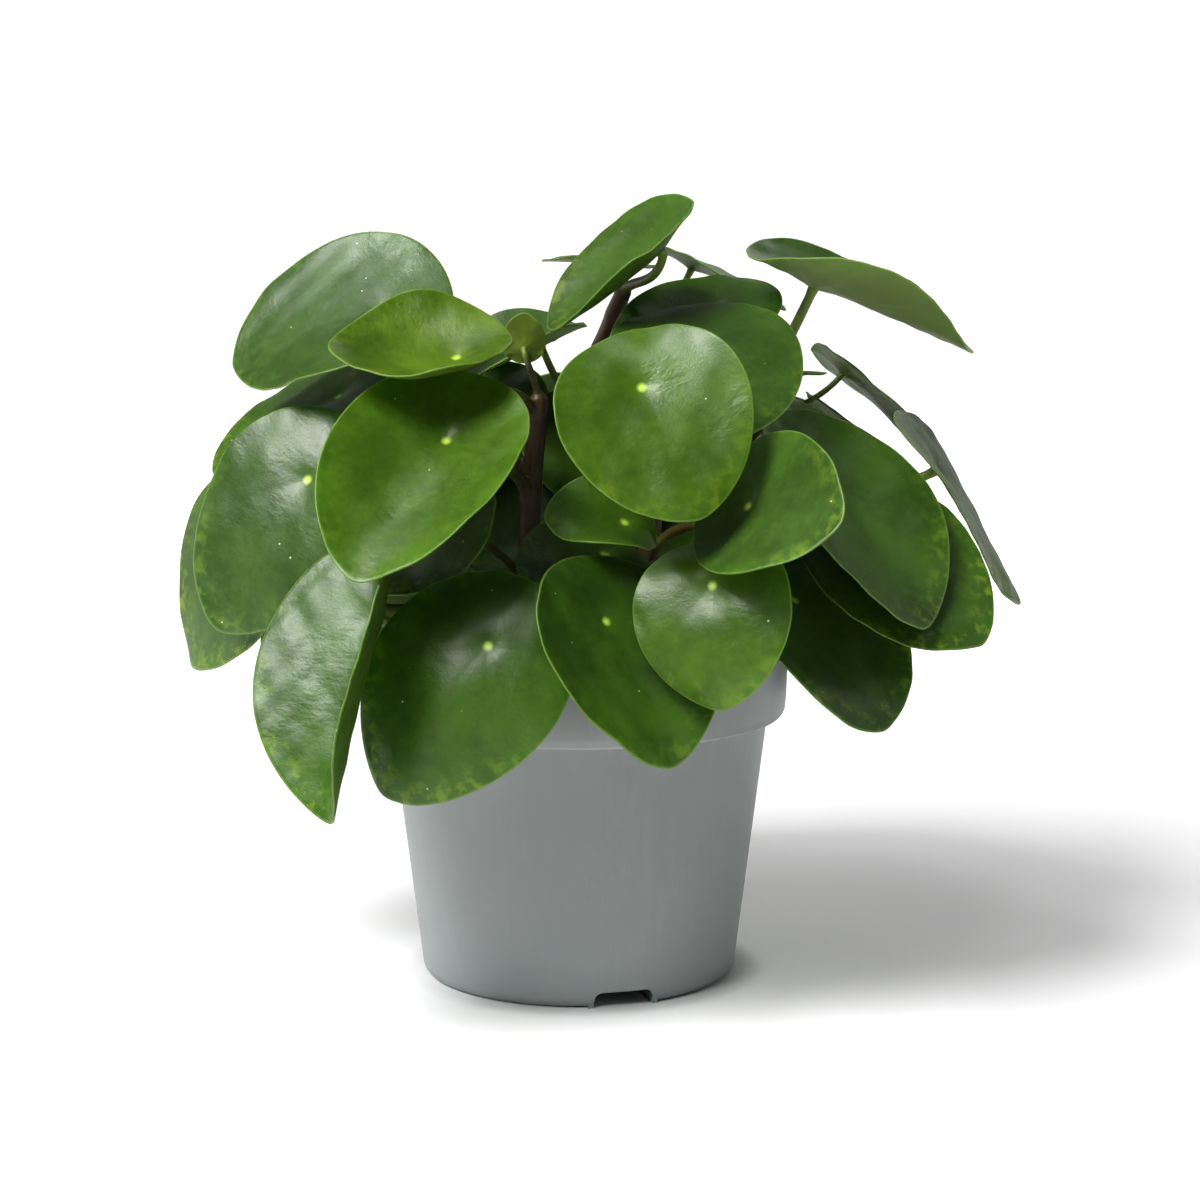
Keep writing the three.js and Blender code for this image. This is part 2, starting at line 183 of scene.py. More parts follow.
# Stems: foot in the soil, the points it rises through, and its radius at foot and top
STEMS = {
    "front": ([14, -14], [[19, -23, 120], [22, -26, 160]], [3.4, 2.6]),
    "left": ([-12, -8], [[-14, -16, 125], [-11, -20, 167]], [3.4, 2.6]),
    "far_left": ([-28, 8], [[-36, 6, 110], [-41, 2, 135]], [3.0, 2.3]),
    "right": ([32, 6], [[41, 4, 118], [47, 2, 152]], [3.2, 2.4]),
    "back": ([0, 26], [[-1, 32, 120], [0, 34, 160], [13, 2, 197]], [3.2, 2.4]),
}

# Leaves, as in the part's source: name, finish, stem, height of the joint, navel,
# [heading, droop, roll], [length, width], [cup, fold, arch], and the direction in which a stalk
# arrives where it doesn't come straight up to the blade
LEAVES = [
    ["left_top", "grey", "left", 140, [-54, -20, 191], [-94, 13, -41], [66, 59], [55, 0, -23]],
    ["left_young", "young", "left", 158, [-32, -56, 179], [-80, 16, -28], [51, 47], [104, 0, 62]],
    # left_broad wears the bright finish as painted light: a lighter green than its own, to make up for
    # the light it gets
    ["left_broad", "bright", "left", 136, [-34, -70, 158], [-38, 45, -23], [71, 53], [66, 14, 15]],
    ["left_glossy", "grey", "far_left", 118, [-73, -42, 146], [-74, 52, -47], [69, 51], [-4, 9, -34]],
    ["left_outer", "mature", "far_left", 112, [-92, -9, 131], [-100, 65, -45], [66, 62], [10, 0, 0]],
    ["left_under_top", "mature", "far_left", 128, [-68, -8, 167], [-90, 28, -22], [60, 52], [10, 0, -5]],
    ["left_inner", "mature", "left", 104, [-36, -50, 138], [-60, 50, -20], [42, 42], [15, 0, 10]],
    ["left_hanging", "mature", "far_left", 98, [-51.5, -75, 112.5], [-31, 65, 24], [78, 61], [15, 70, 2]],
    ["left_up", "young", "left", 166, [-15, -24, 181], [0, -75, 0], [14, 12], [10, 0, 10]],
    ["left_side", "mature", "far_left", 98, [-63, 0, 108], [-95, 62, 0], [54, 48], [25, 0, 0]],
    ["inner", "mature", "back", 130, [3, 6, 158], [10, 50, 0], [46, 42], [20, 0, 0]],
    ["front_bright", "bright", "front", 136, [16, -79, 172], [42, 56, 37], [55, 50], [39, 0, -10]],
    ["front_low_left", "mature", "left", 96, [-23, -86, 107], [-70, 47, -54], [70, 51], [5, -20, -50]],
    ["front_low", "mature", "front", 96, [7, -77, 112], [40, 60, 0], [61, 58], [60, 0, 15]],
    ["front_round", "bright", "front", 104, [34, -83, 122], [-2, 64, 18], [46, 41], [5, 5, -43]],
    ["front_kidney", "mature", "front", 118, [43, -81, 142], [38, 4, 58], [50, 42], [45, 3, 9]],
    ["front_small", "bright", "front", 128, [12, -60, 136], [-70, -10, -40], [31, 29], [70, 0, -25]],
    ["front_shaded", "mature", "left", 104, [7, -44, 126], [-55, 5, -30], [38, 35], [0, 0, -25]],
    ["top", "mature", "back", 190, [22, -22, 208], [-94, 48, -20], [54, 48], [45, 25, 41],
     [0.2, -0.3, 1]],
    ["top_shaded", "grey", "front", 145, [32, -36, 184], [20, 35, 10], [56, 52], [0, 0, -20]],
    ["top_dark", "mature", "front", 155, [40, -3, 192], [-60, 25, -20], [57, 42], [25, 0, -15]],
    ["top_far", "mature", "back", 155, [34, 32, 204], [85, 25, 0], [44, 36], [30, 0, 0]],
    ["top_grey", "grey", "back", 150, [-11, 5, 182], [-75, 24, -10], [46, 42], [80, 0, 0]],
    ["top_behind", "grey", "back", 150, [13, 16, 204], [-90, -5, 0], [34, 28], [20, 0, 0]],
    ["top_corner", "mature", "front", 140, [45, -25, 172], [75, -5, 0], [34, 28], [20, 0, 0]],
    ["right_top", "grey", "right", 150, [66, -13, 198], [97, 23, 7], [71, 60], [90, 0, 5]],
    ["right_edge", "grey", "right", 145, [79, 26, 173], [90, 40, -5], [40, 40], [5, 0, 0]],
    ["right_outer", "mature", "right", 132, [103, -2, 146], [100, 54, 20], [68, 48], [10, 0, -12]],
    ["right_behind", "mature", "right", 138, [80, 34, 156], [80, 40, -10], [52, 42], [15, 0, 0]],
    ["right_inner", "young", "right", 134, [62, -15, 162], [70, 35, 0], [34, 32], [15, 0, 0]],
    ["right_side", "mature", "right", 100, [65, 4, 107], [92, 60, 0], [50, 40], [25, 0, 0]],
    ["right_broad", "mature", "right", 120, [65, -46, 146], [55, 55, 5], [71, 66], [60, 0, 20]],
    ["right_low", "mature", "right", 122, [79, -38, 128], [60, 35, 24], [60, 56], [20, 0, -10]],
    ["right_lowest", "mature", "front", 100, [58, -50, 114], [50, 40, 5], [62, 58], [25, 0, -25]],
    ["back_top_left", "mature", "back", 146, [-26, 37, 181], [-145, 8, 0], [50, 48], [15, 0, -10]],
    ["back_top_right", "grey", "back", 155, [34, 50, 186], [150, 25, 0], [60, 56], [25, 0, -15]],
    ["back_left", "mature", "far_left", 125, [-70, 28, 154], [-108, 45, 5], [64, 60], [30, 0, -5]],
    ["back_mid_left", "bright", "back", 130, [-44, 70, 150], [-150, 50, 0], [62, 58], [35, 0, 10]],
    ["back_mid", "mature", "back", 128, [3, 84, 156], [-178, 55, 0], [64, 60], [40, 0, 5]],
    ["back_mid_right", "grey", "right", 130, [56, 72, 154], [143, 45, 0], [62, 58], [30, 0, 0]],
    ["back_right", "mature", "right", 128, [92, 50, 130], [112, 50, 0], [60, 56], [25, 0, -5]],
    ["back_low_left", "mature", "far_left", 100, [-74, 34, 116], [-112, 65, 0], [60, 50], [30, 0, 5]],
    ["back_low_mid_left", "mature", "back", 104, [-42, 73, 108], [-152, 65, 0], [60, 52], [35, 0, 0]],
    ["back_low", "bright", "back", 100, [3, 84, 107], [-180, 65, 0], [58, 50], [35, 0, 10]],
    ["back_low_right", "mature", "right", 100, [48, 76, 110], [150, 60, 0], [60, 56], [30, 0, 0]],
    ["back_low_far_right", "mature", "right", 98, [78, 38, 106], [115, 62, 0], [54, 50], [25, 0, 0]],
    ["inner_top", "mature", "back", 138, [-27, 20, 167], [-10, 45, 0], [42, 38], [15, 0, 0]],
    ["inner_left", "mature", "back", 108, [-20, 14, 146], [-12, 68, 0], [52, 42], [20, 0, 0]],
    ["inner_right", "mature", "back", 112, [20, 10, 141], [6, 66, 0], [46, 38], [20, 0, 0]],
]


# Nodes of a material
def new_material(name):
    material = bpy.data.materials.new(name)
    material.use_nodes = True
    tree = material.node_tree
    tree.nodes.clear()
    output = tree.nodes.new("ShaderNodeOutputMaterial")
    shader = tree.nodes.new("ShaderNodeBsdfPrincipled")
    tree.links.new(shader.outputs["BSDF"], output.inputs["Surface"])
    return material, tree, shader


def put(tree, socket, value):
    """Links another node's output to the socket, or sets it to a constant."""
    if isinstance(value, bpy.types.NodeSocket):
        tree.links.new(value, socket)
    else:
        socket.default_value = value


def operation_node(tree, kind, operation, values):
    node = tree.nodes.new(kind)
    node.operation = operation
    for socket, value in zip(node.inputs, values):
        put(tree, socket, value)
    return node.outputs


def math_node(tree, operation, *values):
    return operation_node(tree, "ShaderNodeMath", operation, values)[0]


def times(tree, first, second):
    return math_node(tree, "MULTIPLY", first, second)


def vector_node(tree, operation, *values):
    outputs = operation_node(tree, "ShaderNodeVectorMath", operation, values)
    return outputs["Value" if operation == "LENGTH" else "Vector"]


def combined(tree, x, y, z):
    node = tree.nodes.new("ShaderNodeCombineXYZ")
    for socket, value in zip(node.inputs, (x, y, z)):
        put(tree, socket, value)
    return node.outputs[0]


def parts_of(tree, vector):
    node = tree.nodes.new("ShaderNodeSeparateXYZ")
    tree.links.new(vector, node.inputs[0])
    return node.outputs


def attribute(tree, name):
    node = tree.nodes.new("ShaderNodeAttribute")
    node.attribute_name = name
    return parts_of(tree, node.outputs["Vector"])


def smooth(tree, value, low, high, start=0.0, stop=1.0):
    node = tree.nodes.new("ShaderNodeMapRange")
    node.interpolation_type = "SMOOTHSTEP"
    settings = {"Value": value, "From Min": low, "From Max": high, "To Min": start, "To Max": stop}
    for name, setting in settings.items():
        put(tree, node.inputs[name], setting)
    return node.outputs["Result"]


def noise_node(tree, vector, scale, detail=3.0, roughness=0.5):
    node = tree.nodes.new("ShaderNodeTexNoise")
    put(tree, node.inputs["Vector"], vector)
    node.inputs["Scale"].default_value = scale
    node.inputs["Detail"].default_value = detail
    node.inputs["Roughness"].default_value = roughness
    return node.outputs["Fac"]


def mixed(tree, factor, first, second):
    node = tree.nodes.new("ShaderNodeMix")
    node.data_type = "RGBA"
    put(tree, node.inputs["Factor"], factor)
    for socket, colour in zip([s for s in node.inputs if s.type == "RGBA"], (first, second)):
        put(tree, socket, (*colour, 1) if isinstance(colour, tuple) else colour)
    return next(s for s in node.outputs if s.type == "RGBA")


def bumped(tree, height, depth, after=None):
    node = tree.nodes.new("ShaderNodeBump")
    node.inputs["Distance"].default_value = depth * MM
    put(tree, node.inputs["Height"], height)
    if after is not None:
        tree.links.new(after, node.inputs["Normal"])
    return node.outputs["Normal"]


def place_in_mm(tree):
    node = tree.nodes.new("ShaderNodeTexCoord")
    return vector_node(tree, "MULTIPLY", node.outputs["Object"], (1 / MM, 1 / MM, 1 / MM))


def finish(tree, shader, colour, roughness, normal):
    tree.links.new(colour, shader.inputs["Base Color"])
    tree.links.new(roughness, shader.inputs["Roughness"])
    tree.links.new(normal, shader.inputs["Normal"])


def scatter(shader, weight, radius):
    """Light that enters the skin and comes out within a radius in metres for red, green and blue."""
    shader.inputs["Subsurface Weight"].default_value = weight
    shader.inputs["Subsurface Radius"].default_value = radius
    shader.inputs["Subsurface Scale"].default_value = 1.0


def shade_of(colour, share):
    return tuple(share * part for part in colour)


# Leaf colours: deep and light green of the upper face, and the green of the underside
LEAF_COLOURS = {
    "mature": [(0.030, 0.068, 0.006), (0.055, 0.120, 0.011), (0.075, 0.14, 0.012)],
    # The grey finish's greyer greens, above all the pale grey-green of its underside, are partly the
    # leaf's own tone and partly painted sheen of the white surroundings
    "grey": [(0.030, 0.068, 0.009), (0.056, 0.115, 0.020), (0.25, 0.33, 0.11)],
    "bright": [(0.040, 0.090, 0.004), (0.072, 0.146, 0.009), (0.09, 0.17, 0.012)],
    "young": [(0.050, 0.095, 0.004), (0.105, 0.175, 0.010), (0.12, 0.18, 0.010)],
}
NAVEL_COLOUR = (0.55, 0.78, 0.10)
MARGIN_COLOUR = (0.15, 0.235, 0.045)
BLOTCH_COLOUR = (0.21, 0.30, 0.018)
SPECK_COLOUR = (0.60, 0.68, 0.45)
UNDER_DEEP = 0.72
UNDER_VEIN = 1.4

# Leaf noises: waves per mm, detail and roughness
PATCH_NOISE = (0.055, 2.0)
MOTTLE_NOISE = (0.45, 3.0, 0.6)
STREAK_NOISE = (2.2, 5.0, 0.62)
BLOTCH_NOISE = (0.28, 3.0, 0.6)
CREASE_NOISE = (0.34, 2.5, 0.55)
CREASED_NOISE = (0.07, 1.0)
PORE_NOISE = (1.8, 2.0, 0.5)
SPECK_SCALE = 0.22
STREAK_AROUND = 3.2
STREAK_OUTWARD = 0.035
CREASE_STRETCH = (0.7, 1.2, 1.0)
LEAF_SHIFT = 500.0
STREAK_SHIFT = 300.0

# Where the marks of a leaf fade in: from which value to which, and from which strength to which.
# Places are mm from the navel or the vein, or the share of the way to the margin.
UPPER_FACE = (0.35, 0.65)
VEIN_FADE = (VEIN_WIDTH, 0.0)
VEIN_REACH = (0.95, 0.15)
LIGHT_PATCHES = (0.5, 0.95)
HALO = (6.0, 1.0, 0.0, 0.7)
BLOTCHES = (0.46, 0.66)
BLOTCHED_TIP = (5.0, 30.0, 0.25, 1.0)
BLOTCHED_MARGIN = (0.74, 1.0, 0.0, 0.8)
UNDER_PATCHES = (0.6, 1.3)
MARGIN_LINE = (0.985, 1.0, 0.0, 0.5)
NAVEL_SPOT = (1.8, 0.2, 0.0, 0.85)
SPECK_SIZE = (0.075, 0.04)
SPECKS_KEPT = (0.72, 0.74)
CREASED_PATCHES = (0.42, 0.62, 0.15, 1.0)

# Shares of each part in the tone, the specks and the roughness, and depths of the bumps in mm
TONE_PATCHES = 0.9
TONE_STREAKS = 0.2
TONE_MOTTLE = 0.35
VEIN_TINT = 0.06
UNDER_VEIN_TINT = 0.35
SPECK_TINT = 0.75
LEAF_ROUGHNESS = 0.275
ROUGH_STREAKS = 0.08
ROUGH_MOTTLE = 0.12
ROUGH_UNDER = 0.15
LEAF_SPECULAR = 0.42
LEAF_SCATTER = (0.35, (0.0015, 0.0026, 0.0004))
CREASE_DEPTH = 0.19
MOTTLE_DEPTH = 0.04
PORE_DEPTH = 0.03


def leaf_material(name, deep, light, under):
    """The attribute flat holds a point's place on the flat blade in mm and its share of the way to
    the margin, and tone holds which face it is on, the leaf's own random number and its blotches."""
    material, tree, shader = new_material(name)
    across, along, ring = attribute(tree, "flat")
    face, own, blotchy = attribute(tree, "tone")
    upper = smooth(tree, face, *UPPER_FACE)
    flat_place = combined(tree, across, along, times(tree, own, LEAF_SHIFT))
    from_navel = combined(tree, across, along, 0.0)
    radius = vector_node(tree, "LENGTH", from_navel)
    direction = vector_node(tree, "NORMALIZE", from_navel)

    patches = noise_node(tree, flat_place, *PATCH_NOISE)
    mottle = noise_node(tree, flat_place, *MOTTLE_NOISE)
    depth = math_node(tree, "MULTIPLY_ADD", radius, STREAK_OUTWARD, times(tree, own, STREAK_SHIFT))
    depth = combined(tree, 0.0, 0.0, depth)
    outward = vector_node(tree, "MULTIPLY_ADD", direction, (STREAK_AROUND, STREAK_AROUND, 0.0), depth)
    streaks = noise_node(tree, outward, *STREAK_NOISE)

    turn = math_node(tree, "ARCTAN2", across, along)
    share = math_node(tree, "ADD", times(tree, turn, 1 / VEIN_ANGLE), 0.5)
    from_vein = math_node(tree, "SUBTRACT", math_node(tree, "FRACT", share), 0.5)
    from_vein = times(tree, math_node(tree, "ABSOLUTE", from_vein), VEIN_ANGLE)
    vein = smooth(tree, times(tree, from_vein, radius), *VEIN_FADE)
    vein = times(tree, vein, smooth(tree, ring, *VEIN_REACH))

    tone = math_node(tree, "ADD", times(tree, patches, TONE_PATCHES), times(tree, streaks, TONE_STREAKS))
    tone = math_node(tree, "ADD", tone, times(tree, mottle, TONE_MOTTLE))
    colour = mixed(tree, smooth(tree, tone, *LIGHT_PATCHES), deep, light)
    colour = mixed(tree, times(tree, vein, VEIN_TINT), colour, light)
    colour = mixed(tree, smooth(tree, radius, *HALO), colour, light)

    blotches = smooth(tree, noise_node(tree, flat_place, *BLOTCH_NOISE), *BLOTCHES)
    near_tip = smooth(tree, along, *BLOTCHED_TIP)
    near_margin = smooth(tree, ring, *BLOTCHED_MARGIN)
    blotches = times(tree, blotches, times(tree, near_margin, near_tip))
    colour = mixed(tree, times(tree, blotches, blotchy), colour, BLOTCH_COLOUR)

    below = mixed(tree, smooth(tree, tone, *UNDER_PATCHES), shade_of(under, UNDER_DEEP), under)
    below = mixed(tree, times(tree, vein, UNDER_VEIN_TINT), below, shade_of(under, UNDER_VEIN))
    colour = mixed(tree, upper, below, colour)
    colour = mixed(tree, smooth(tree, ring, *MARGIN_LINE), colour, MARGIN_COLOUR)
    navel = times(tree, smooth(tree, radius, *NAVEL_SPOT), upper)
    colour = mixed(tree, navel, colour, NAVEL_COLOUR)

    cells = tree.nodes.new("ShaderNodeTexVoronoi")
    put(tree, cells.inputs["Vector"], flat_place)
    cells.inputs["Scale"].default_value = SPECK_SCALE
    chosen = tree.nodes.new("ShaderNodeSeparateColor")
    tree.links.new(cells.outputs["Color"], chosen.inputs[0])
    speck = smooth(tree, cells.outputs["Distance"], *SPECK_SIZE)
    speck = times(tree, speck, smooth(tree, chosen.outputs[0], *SPECKS_KEPT))
    speck = times(tree, times(tree, speck, upper), SPECK_TINT)
    colour = mixed(tree, speck, colour, SPECK_COLOUR)

    roughness = math_node(tree, "MULTIPLY_ADD", streaks, ROUGH_STREAKS, LEAF_ROUGHNESS)
    roughness = math_node(tree, "MULTIPLY_ADD", mottle, ROUGH_MOTTLE, roughness)
    dull = times(tree, math_node(tree, "SUBTRACT", 1.0, upper), ROUGH_UNDER)
    roughness = math_node(tree, "ADD", roughness, dull)
    shader.inputs["Specular IOR Level"].default_value = LEAF_SPECULAR
    scatter(shader, *LEAF_SCATTER)

    # Fine wrinkles lie in patches, and the rest of the face is smooth
    stretched = vector_node(tree, "MULTIPLY", flat_place, CREASE_STRETCH)
    creases = math_node(tree, "SUBTRACT", noise_node(tree, stretched, *CREASE_NOISE), 0.5)
    where = smooth(tree, noise_node(tree, flat_place, *CREASED_NOISE), *CREASED_PATCHES)
    normal = bumped(tree, times(tree, creases, where), CREASE_DEPTH)
    normal = bumped(tree, mottle, MOTTLE_DEPTH, normal)
    normal = bumped(tree, noise_node(tree, flat_place, *PORE_NOISE), PORE_DEPTH, normal)
    finish(tree, shader, colour, roughness, normal)
    return material


# Stem: brown wood, olive where a stalk leaves it, and fresh green under the blade
WOOD = ((0.028, 0.014, 0.006), (0.085, 0.044, 0.018))
OLIVE = ((0.065, 0.048, 0.012), (0.08, 0.10, 0.016))
FRESH = ((0.13, 0.20, 0.03), (0.20, 0.30, 0.045))
BARK_NOISE = (0.12, 3.0)
BARK_PATCHES = (0.35, 0.65)
FIBRE_NOISE = (1.1, 4.0, 0.6)
FIBRE_STRETCH = (1.0, 1.0, 0.25)
WOOD_TO_OLIVE = (0.0, 0.25)
OLIVE_TO_FRESH = (0.45, 1.0)
STEM_ROUGHNESS = (0.25, 0.3)
STEM_SCATTER = (0.08, (0.0012, 0.001, 0.0004))
FIBRE_DEPTH = 0.25


def stem_material():
    """The attribute tone holds the share of the way from a stalk's foot to its blade, or 0 on a stem."""
    material, tree, shader = new_material("stem_skin")
    place = place_in_mm(tree)
    along = attribute(tree, "tone")[0]
    patches = noise_node(tree, place, *BARK_NOISE)
    fibres = noise_node(tree, vector_node(tree, "MULTIPLY", place, FIBRE_STRETCH), *FIBRE_NOISE)
    olive = mixed(tree, smooth(tree, patches, *BARK_PATCHES), *OLIVE)
    colour = mixed(tree, smooth(tree, along, *WOOD_TO_OLIVE), mixed(tree, fibres, *WOOD), olive)
    colour = mixed(tree, smooth(tree, along, *OLIVE_TO_FRESH), colour, mixed(tree, fibres, *FRESH))
    roughness = math_node(tree, "MULTIPLY_ADD", fibres, *STEM_ROUGHNESS)
    scatter(shader, *STEM_SCATTER)
    finish(tree, shader, colour, roughness, bumped(tree, fibres, FIBRE_DEPTH))
    return material


# Pot: moulded grey plastic with flow lines and dust, with painted light that makes it lighter towards its
# foot and a painted highlight along the step's edge
PLASTIC = ((0.200, 0.218, 0.216), (0.222, 0.240, 0.237))
FLOW_COLOUR = (0.25, 0.27, 0.267)
FOOT_LIGHT_COLOUR = (0.27, 0.30, 0.30)
STEP_HIGHLIGHT_COLOUR = (0.42, 0.44, 0.43)
DUST_COLOUR = (0.36, 0.37, 0.355)
CLOUD_NOISE = (0.02, 3.0)
CLOUDED = (0.3, 0.7)
FLOW_NOISE = (0.12, 4.0)
FLOW_STRETCH = (1.0, 1.0, 0.08)
FLOW_LINES = (0.45, 0.75, 0.0, 0.35)
GRAIN_NOISE = (2.2, 3.0, 0.6)
DUST_NOISE = (0.5, 6.0, 0.7)
DUSTY = (0.62, 0.75)
DUST_TINT = 0.18
FOOT_LIGHT_HEIGHT = (55, 5, 0.0, 0.6)
STEP_HIGHLIGHT_LINE = (0.7, 0.2, 0.0, 0.5)
STEP_HIGHLIGHT_HEIGHT = STEP_HEIGHT + 0.1
POT_SPECULAR = 1.0
POT_ROUGHNESS = (0.12, 0.33)
ROUGH_GRAIN = 0.08
GRAIN_DEPTH = 0.04
FLOW_DEPTH = 0.25


def pot_material():
    material, tree, shader = new_material("pot_plastic")
    place = place_in_mm(tree)
    flow = noise_node(tree, vector_node(tree, "MULTIPLY", place, FLOW_STRETCH), *FLOW_NOISE)
    grain = noise_node(tree, place, *GRAIN_NOISE)
    clouds = smooth(tree, noise_node(tree, place, *CLOUD_NOISE), *CLOUDED)
    colour = mixed(tree, clouds, *PLASTIC)
    colour = mixed(tree, smooth(tree, flow, *FLOW_LINES), colour, FLOW_COLOUR)
    height = parts_of(tree, place)["Z"]
    # Painted light: the body turns lighter towards its foot
    colour = mixed(tree, smooth(tree, height, *FOOT_LIGHT_HEIGHT), colour, FOOT_LIGHT_COLOUR)
    # Painted highlight: a thin light line along the step's edge
    from_step = math_node(tree, "ABSOLUTE", math_node(tree, "SUBTRACT", height, STEP_HIGHLIGHT_HEIGHT))
    colour = mixed(tree, smooth(tree, from_step, *STEP_HIGHLIGHT_LINE), colour, STEP_HIGHLIGHT_COLOUR)
    dust = smooth(tree, noise_node(tree, place, *DUST_NOISE), *DUSTY)
    colour = mixed(tree, times(tree, dust, DUST_TINT), colour, DUST_COLOUR)
    shader.inputs["Specular IOR Level"].default_value = POT_SPECULAR
    roughness = math_node(tree, "MULTIPLY_ADD", flow, *POT_ROUGHNESS)
    roughness = math_node(tree, "MULTIPLY_ADD", grain, ROUGH_GRAIN, roughness)
    normal = bumped(tree, flow, FLOW_DEPTH, bumped(tree, grain, GRAIN_DEPTH))
    finish(tree, shader, colour, roughness, normal)
    return material


# Soil: dark lumps with paler grit
EARTH = ((0.012, 0.008, 0.005), (0.045, 0.028, 0.017))
GRIT_COLOUR = (0.13, 0.09, 0.055)
LUMP_NOISE = (0.35, 5.0, 0.65)
LUMPS = (0.35, 0.65)
GRIT_NOISE = (2.4, 4.0, 0.7)
GRITTY = (0.62, 0.72, 0.0, 0.5)
SOIL_ROUGHNESS = (0.2, 0.75)
LUMP_DEPTH = 1.2
GRIT_DEPTH = 0.5


def soil_material():
    material, tree, shader = new_material("potting_soil")
    place = place_in_mm(tree)
    lumps = noise_node(tree, place, *LUMP_NOISE)
    grit = noise_node(tree, place, *GRIT_NOISE)
    colour = mixed(tree, smooth(tree, lumps, *LUMPS), *EARTH)
    colour = mixed(tree, smooth(tree, grit, *GRITTY), colour, GRIT_COLOUR)
    roughness = math_node(tree, "MULTIPLY_ADD", grit, *SOIL_ROUGHNESS)
    normal = bumped(tree, grit, GRIT_DEPTH, bumped(tree, lumps, LUMP_DEPTH))
    finish(tree, shader, colour, roughness, normal)
    return material


# Floor, in metres from the pot's axis: darker in front, white far away, a faint glow near the pot that is
# painted light lifting the floor's shadow, and no glow at the foot, a painted contact shadow
PALE = ((0.86, 0.86, 0.86), (0.88, 0.88, 0.88))
FRONT_COLOUR = (0.45, 0.45, 0.45)
FLOOR_NOISE = (3.0, 3.0)
FRONT_FROM = (-0.22, -0.5)
FRONT_ENDS = (1.6, 1.0)
FRONT_TINT = 0.6
FLOOR_ROUGHNESS = 0.6
FLOOR_GLOW = (0.26, 1.1, 0.15, 1.0)
FRONT_GLOW = (-0.7, 1.0)
CONTACT_SHADOW_RING = (0.046, 0.056)


def floor_material():
    """A pale floor that turns into the white of the surroundings far from the pot."""
    material, tree, shader = new_material("pale_floor")
    place = tree.nodes.new("ShaderNodeTexCoord").outputs["Object"]
    distance = vector_node(tree, "LENGTH", place)
    front = smooth(tree, parts_of(tree, place)["Y"], *FRONT_FROM)
    front = times(tree, front, smooth(tree, distance, *FRONT_ENDS))
    colour = mixed(tree, noise_node(tree, place, *FLOOR_NOISE), *PALE)
    colour = mixed(tree, times(tree, front, FRONT_TINT), colour, FRONT_COLOUR)
    tree.links.new(colour, shader.inputs["Base Color"])
    shader.inputs["Roughness"].default_value = FLOOR_ROUGHNESS
    # Painted light: a faint glow near the pot lifts the floor's shadow, and the glow fades out at the
    # foot as a painted contact shadow
    glow = smooth(tree, distance, *FLOOR_GLOW)
    glow = times(tree, glow, math_node(tree, "MULTIPLY_ADD", front, *FRONT_GLOW))
    glow = times(tree, glow, smooth(tree, distance, *CONTACT_SHADOW_RING))
    shader.inputs["Emission Color"].default_value = (1, 1, 1, 1)
    tree.links.new(glow, shader.inputs["Emission Strength"])
    return material


# Meshes
def link(name, data):
    made = bpy.data.objects.new(name, data)
    bpy.context.scene.collection.objects.link(made)
    return made


def make_object(name, points, faces, material, smooth_faces=True):
    mesh = bpy.data.meshes.new(name)
    mesh.from_pydata([tuple(point) for point in np.asarray(points) * MM], [], faces)
    mesh.validate()
    mesh.polygons.foreach_set("use_smooth", [smooth_faces] * len(mesh.polygons))
    mesh.materials.append(material)
    mesh.update()
    return link(name, mesh)


def shape_object(name, shape, material):
    mesh = bpy.data.meshes.new(name)
    shape.to_mesh(mesh)
    shape.free()
    mesh.materials.append(material)
    return link(name, mesh)


def set_attribute(made, name, values):
    layer = made.data.attributes.new(name, "FLOAT_VECTOR", "POINT")
    layer.data.foreach_set("vector", np.asarray(values, np.float32).ravel())


def settle(made, slot, *nodes):
    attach(made, "root")
    if nodes:
        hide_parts(*nodes)


def keep_evaluated(made):
    """Applies the modifiers of an object to its mesh."""
    graph = bpy.context.evaluated_depsgraph_get()
    mesh = bpy.data.meshes.new_from_object(made.evaluated_get(graph))
    made.modifiers.clear()
    old = made.data
    made.data = mesh
    bpy.data.meshes.remove(old)


def turns_around(sides):
    return [FULL_TURN * side / sides for side in range(sides)]


def circle(radius, height, sides):
    return [(radius * math.cos(turn), radius * math.sin(turn), height) for turn in turns_around(sides)]


def rows_to_faces(rows, sides):
    """Quads between rows of vertices, closed around."""
    faces = []
    for row in range(rows - 1):
        for side in range(sides):
            following = (side + 1) % sides
            low = row * sides
            faces.append((low + side, low + sides + side, low + sides + following, low + following))
    return faces


def capped_rows(rows, sides):
    """Faces of a closed body: its rows, and fans to the two vertices after them."""
    faces = [face[::-1] for face in rows_to_faces(rows, sides)]
    count = rows * sides
    last = count - sides
    for side in range(sides):
        following = (side + 1) % sides
        faces.append((count, following, side))
        faces.append((count + 1, last + side, last + following))
    return faces


def prism_faces(count):
    """Faces of a prism whose two ends have the given number of vertices."""
    sides = [(i, (i + 1) % count, count + (i + 1) % count, count + i) for i in range(count)]
    return [*sides, tuple(reversed(range(count))), tuple(range(count, 2 * count))]


